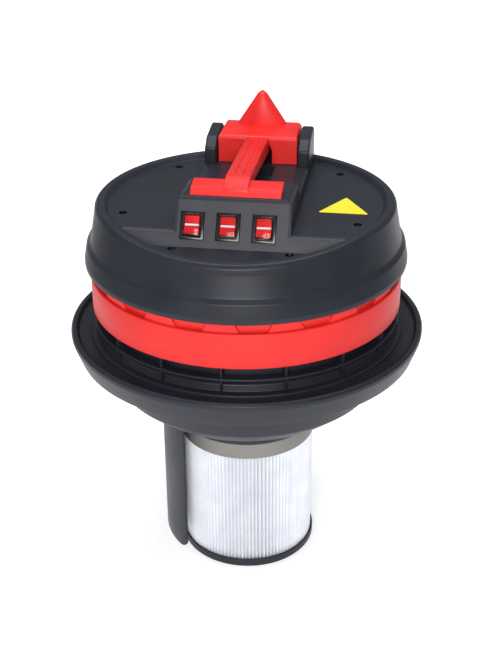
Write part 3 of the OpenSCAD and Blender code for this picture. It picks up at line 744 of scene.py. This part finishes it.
PLEATS = 108
PLEAT_R, PLEAT_DEPTH = 84.9, 10.0
PLEAT_FOOT, PLEAT_TALL, PLEAT_ROWS = 4.2, 163.6, 8
FOLD = (0.0, 0.10, 0.45, 0.85, 1.0, 0.85, 0.45, 0.10)      # depth across one pleat
ROUND = PLEATS * len(FOLD)
bpy.ops.mesh.primitive_circle_add(vertices=ROUND, radius=1, fill_type="NOTHING")
media = current()
media.name = "filter_pleats"
for i, v in enumerate(media.data.vertices):
    pleat, step = divmod(i, len(FOLD))
    a = 2 * math.pi * i / ROUND + 0.004 * noise.noise(Vector((pleat * 0.7, 3.1, 0)))
    r = PLEAT_R - PLEAT_DEPTH * FOLD[step] - 0.35 * abs(noise.noise(Vector((pleat * 1.3, 0, 7.7))))
    v.co = (r * MM * math.cos(a), r * MM * math.sin(a), PLEAT_FOOT * MM)
bpy.ops.object.mode_set(mode="EDIT")
bpy.ops.mesh.select_all(action="SELECT")
for k in range(PLEAT_ROWS):
    bpy.ops.mesh.extrude_region_move(
        TRANSFORM_OT_translate={"value": (0, 0, PLEAT_TALL / PLEAT_ROWS * MM)})
bpy.ops.object.mode_set(mode="OBJECT")
for v in media.data.vertices:
    a = math.atan2(v.co.y, v.co.x)
    lean = 0.0035 * noise.noise(Vector((math.cos(a) * 9, math.sin(a) * 9, v.co.z * 14)))
    v.co = Matrix.Rotation(lean, 3, "Z") @ v.co
tidy_faces(media)
apply_modifier(media, "SOLIDIFY", thickness=0.0009, offset=-1)
finish_piece(smooth(media, 60), "power_head", "filter_paper", filter_cloth, "filter_media")

bottom_cap = lathe("filter_cap_moulding", [
    (1.5, 0.05), (86, 0.05, 1.5), (87.5, 2.0, 1.2), (87.5, 11.9, 1.3), (85.3, 11.9, 0.8),
    (85.3, 4.1), (1.5, 4.1)], segments=128)
finish_piece(smooth(bottom_cap, 40), "power_head", "black_plastic", black_abs, "filter_bottom_cap")
top_cap = lathe("filter_collar_moulding", [
    (60.6, 176), (63.6, 168.1, 1), (86.4, 168.1, 1.3), (86.4, 200, 1), (84.5, 205.8, 1),
    (60.6, 205.8)], segments=128)
finish_piece(smooth(top_cap, 40), "power_head", "moulded_collar", collar_polyurethane,
             "filter_top_cap")


# ---- Inlet deflector ---------------------------------------------------------------

PLATE_MM = math.pi / 180 * 108.5        # one degree round the plate, in millimetres
plate = arc_plate("deflector_plate", wide_corners([
    (122, 20.2, 14), (232, 20.2, 14), (232, 213.5, 3), (122, 213.5, 3)], PLATE_MM), 107.1, 109.9,
    parts=40)
lugs = []
for a in (147, 207):
    lug = soften(block("lug", 92.6, 107.6, -9, 9, 198, 206), 0.8, 2)
    lug.data.transform(Matrix.Rotation(math.radians(a), 4, "Z"))
    lugs.append(lug)
deflector = join("inlet_deflector_moulding", [plate] + lugs)
soften(deflector, 0.8, 3, 60)
finish_piece(smooth(deflector, 40), "power_head", "black_plastic", black_abs, "inlet_deflector")


# ---- Finishes of the pieces that the frame already shapes --------------------------

FINISHES = {
    "filter_core": dark_nylon, "float_cage": dark_nylon, "float_ball": white_nylon,
    "deflector_screws": zinc_steel, "lid_gasket": black_rubber, "bowl_screws": zinc_steel,
    "motor_gaskets": black_rubber, "motor_top_rings": black_rubber, "clamp_plate": dark_nylon,
    "clamp_spacers": zinc_steel, "clamp_bolts": zinc_steel, "muffler_foam": open_foam,
    "cover_screws": zinc_steel, "handle_screws": zinc_steel, "cord_gland": black_rubber,
    "terminal_block": white_nylon, "field_coils": enamel_copper, "motor_bearings": zinc_steel,
    "carbon_brushes": carbon_black}
for number in (1, 2, 3):
    FINISHES.update({
        f"motor_{number}_fan_case": pressed_steel, f"motor_{number}_frame": dark_nylon,
        f"motor_{number}_stator": laminations, f"motor_{number}_shaft": zinc_steel,
        f"motor_{number}_armature": enamel_copper, f"motor_{number}_impeller": turned_aluminium,
        f"motor_{number}_cooling_fan": dark_nylon})
for node, material in FINISHES.items():
    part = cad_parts[node]
    part.data.materials.clear()
    part.data.materials.append(material)
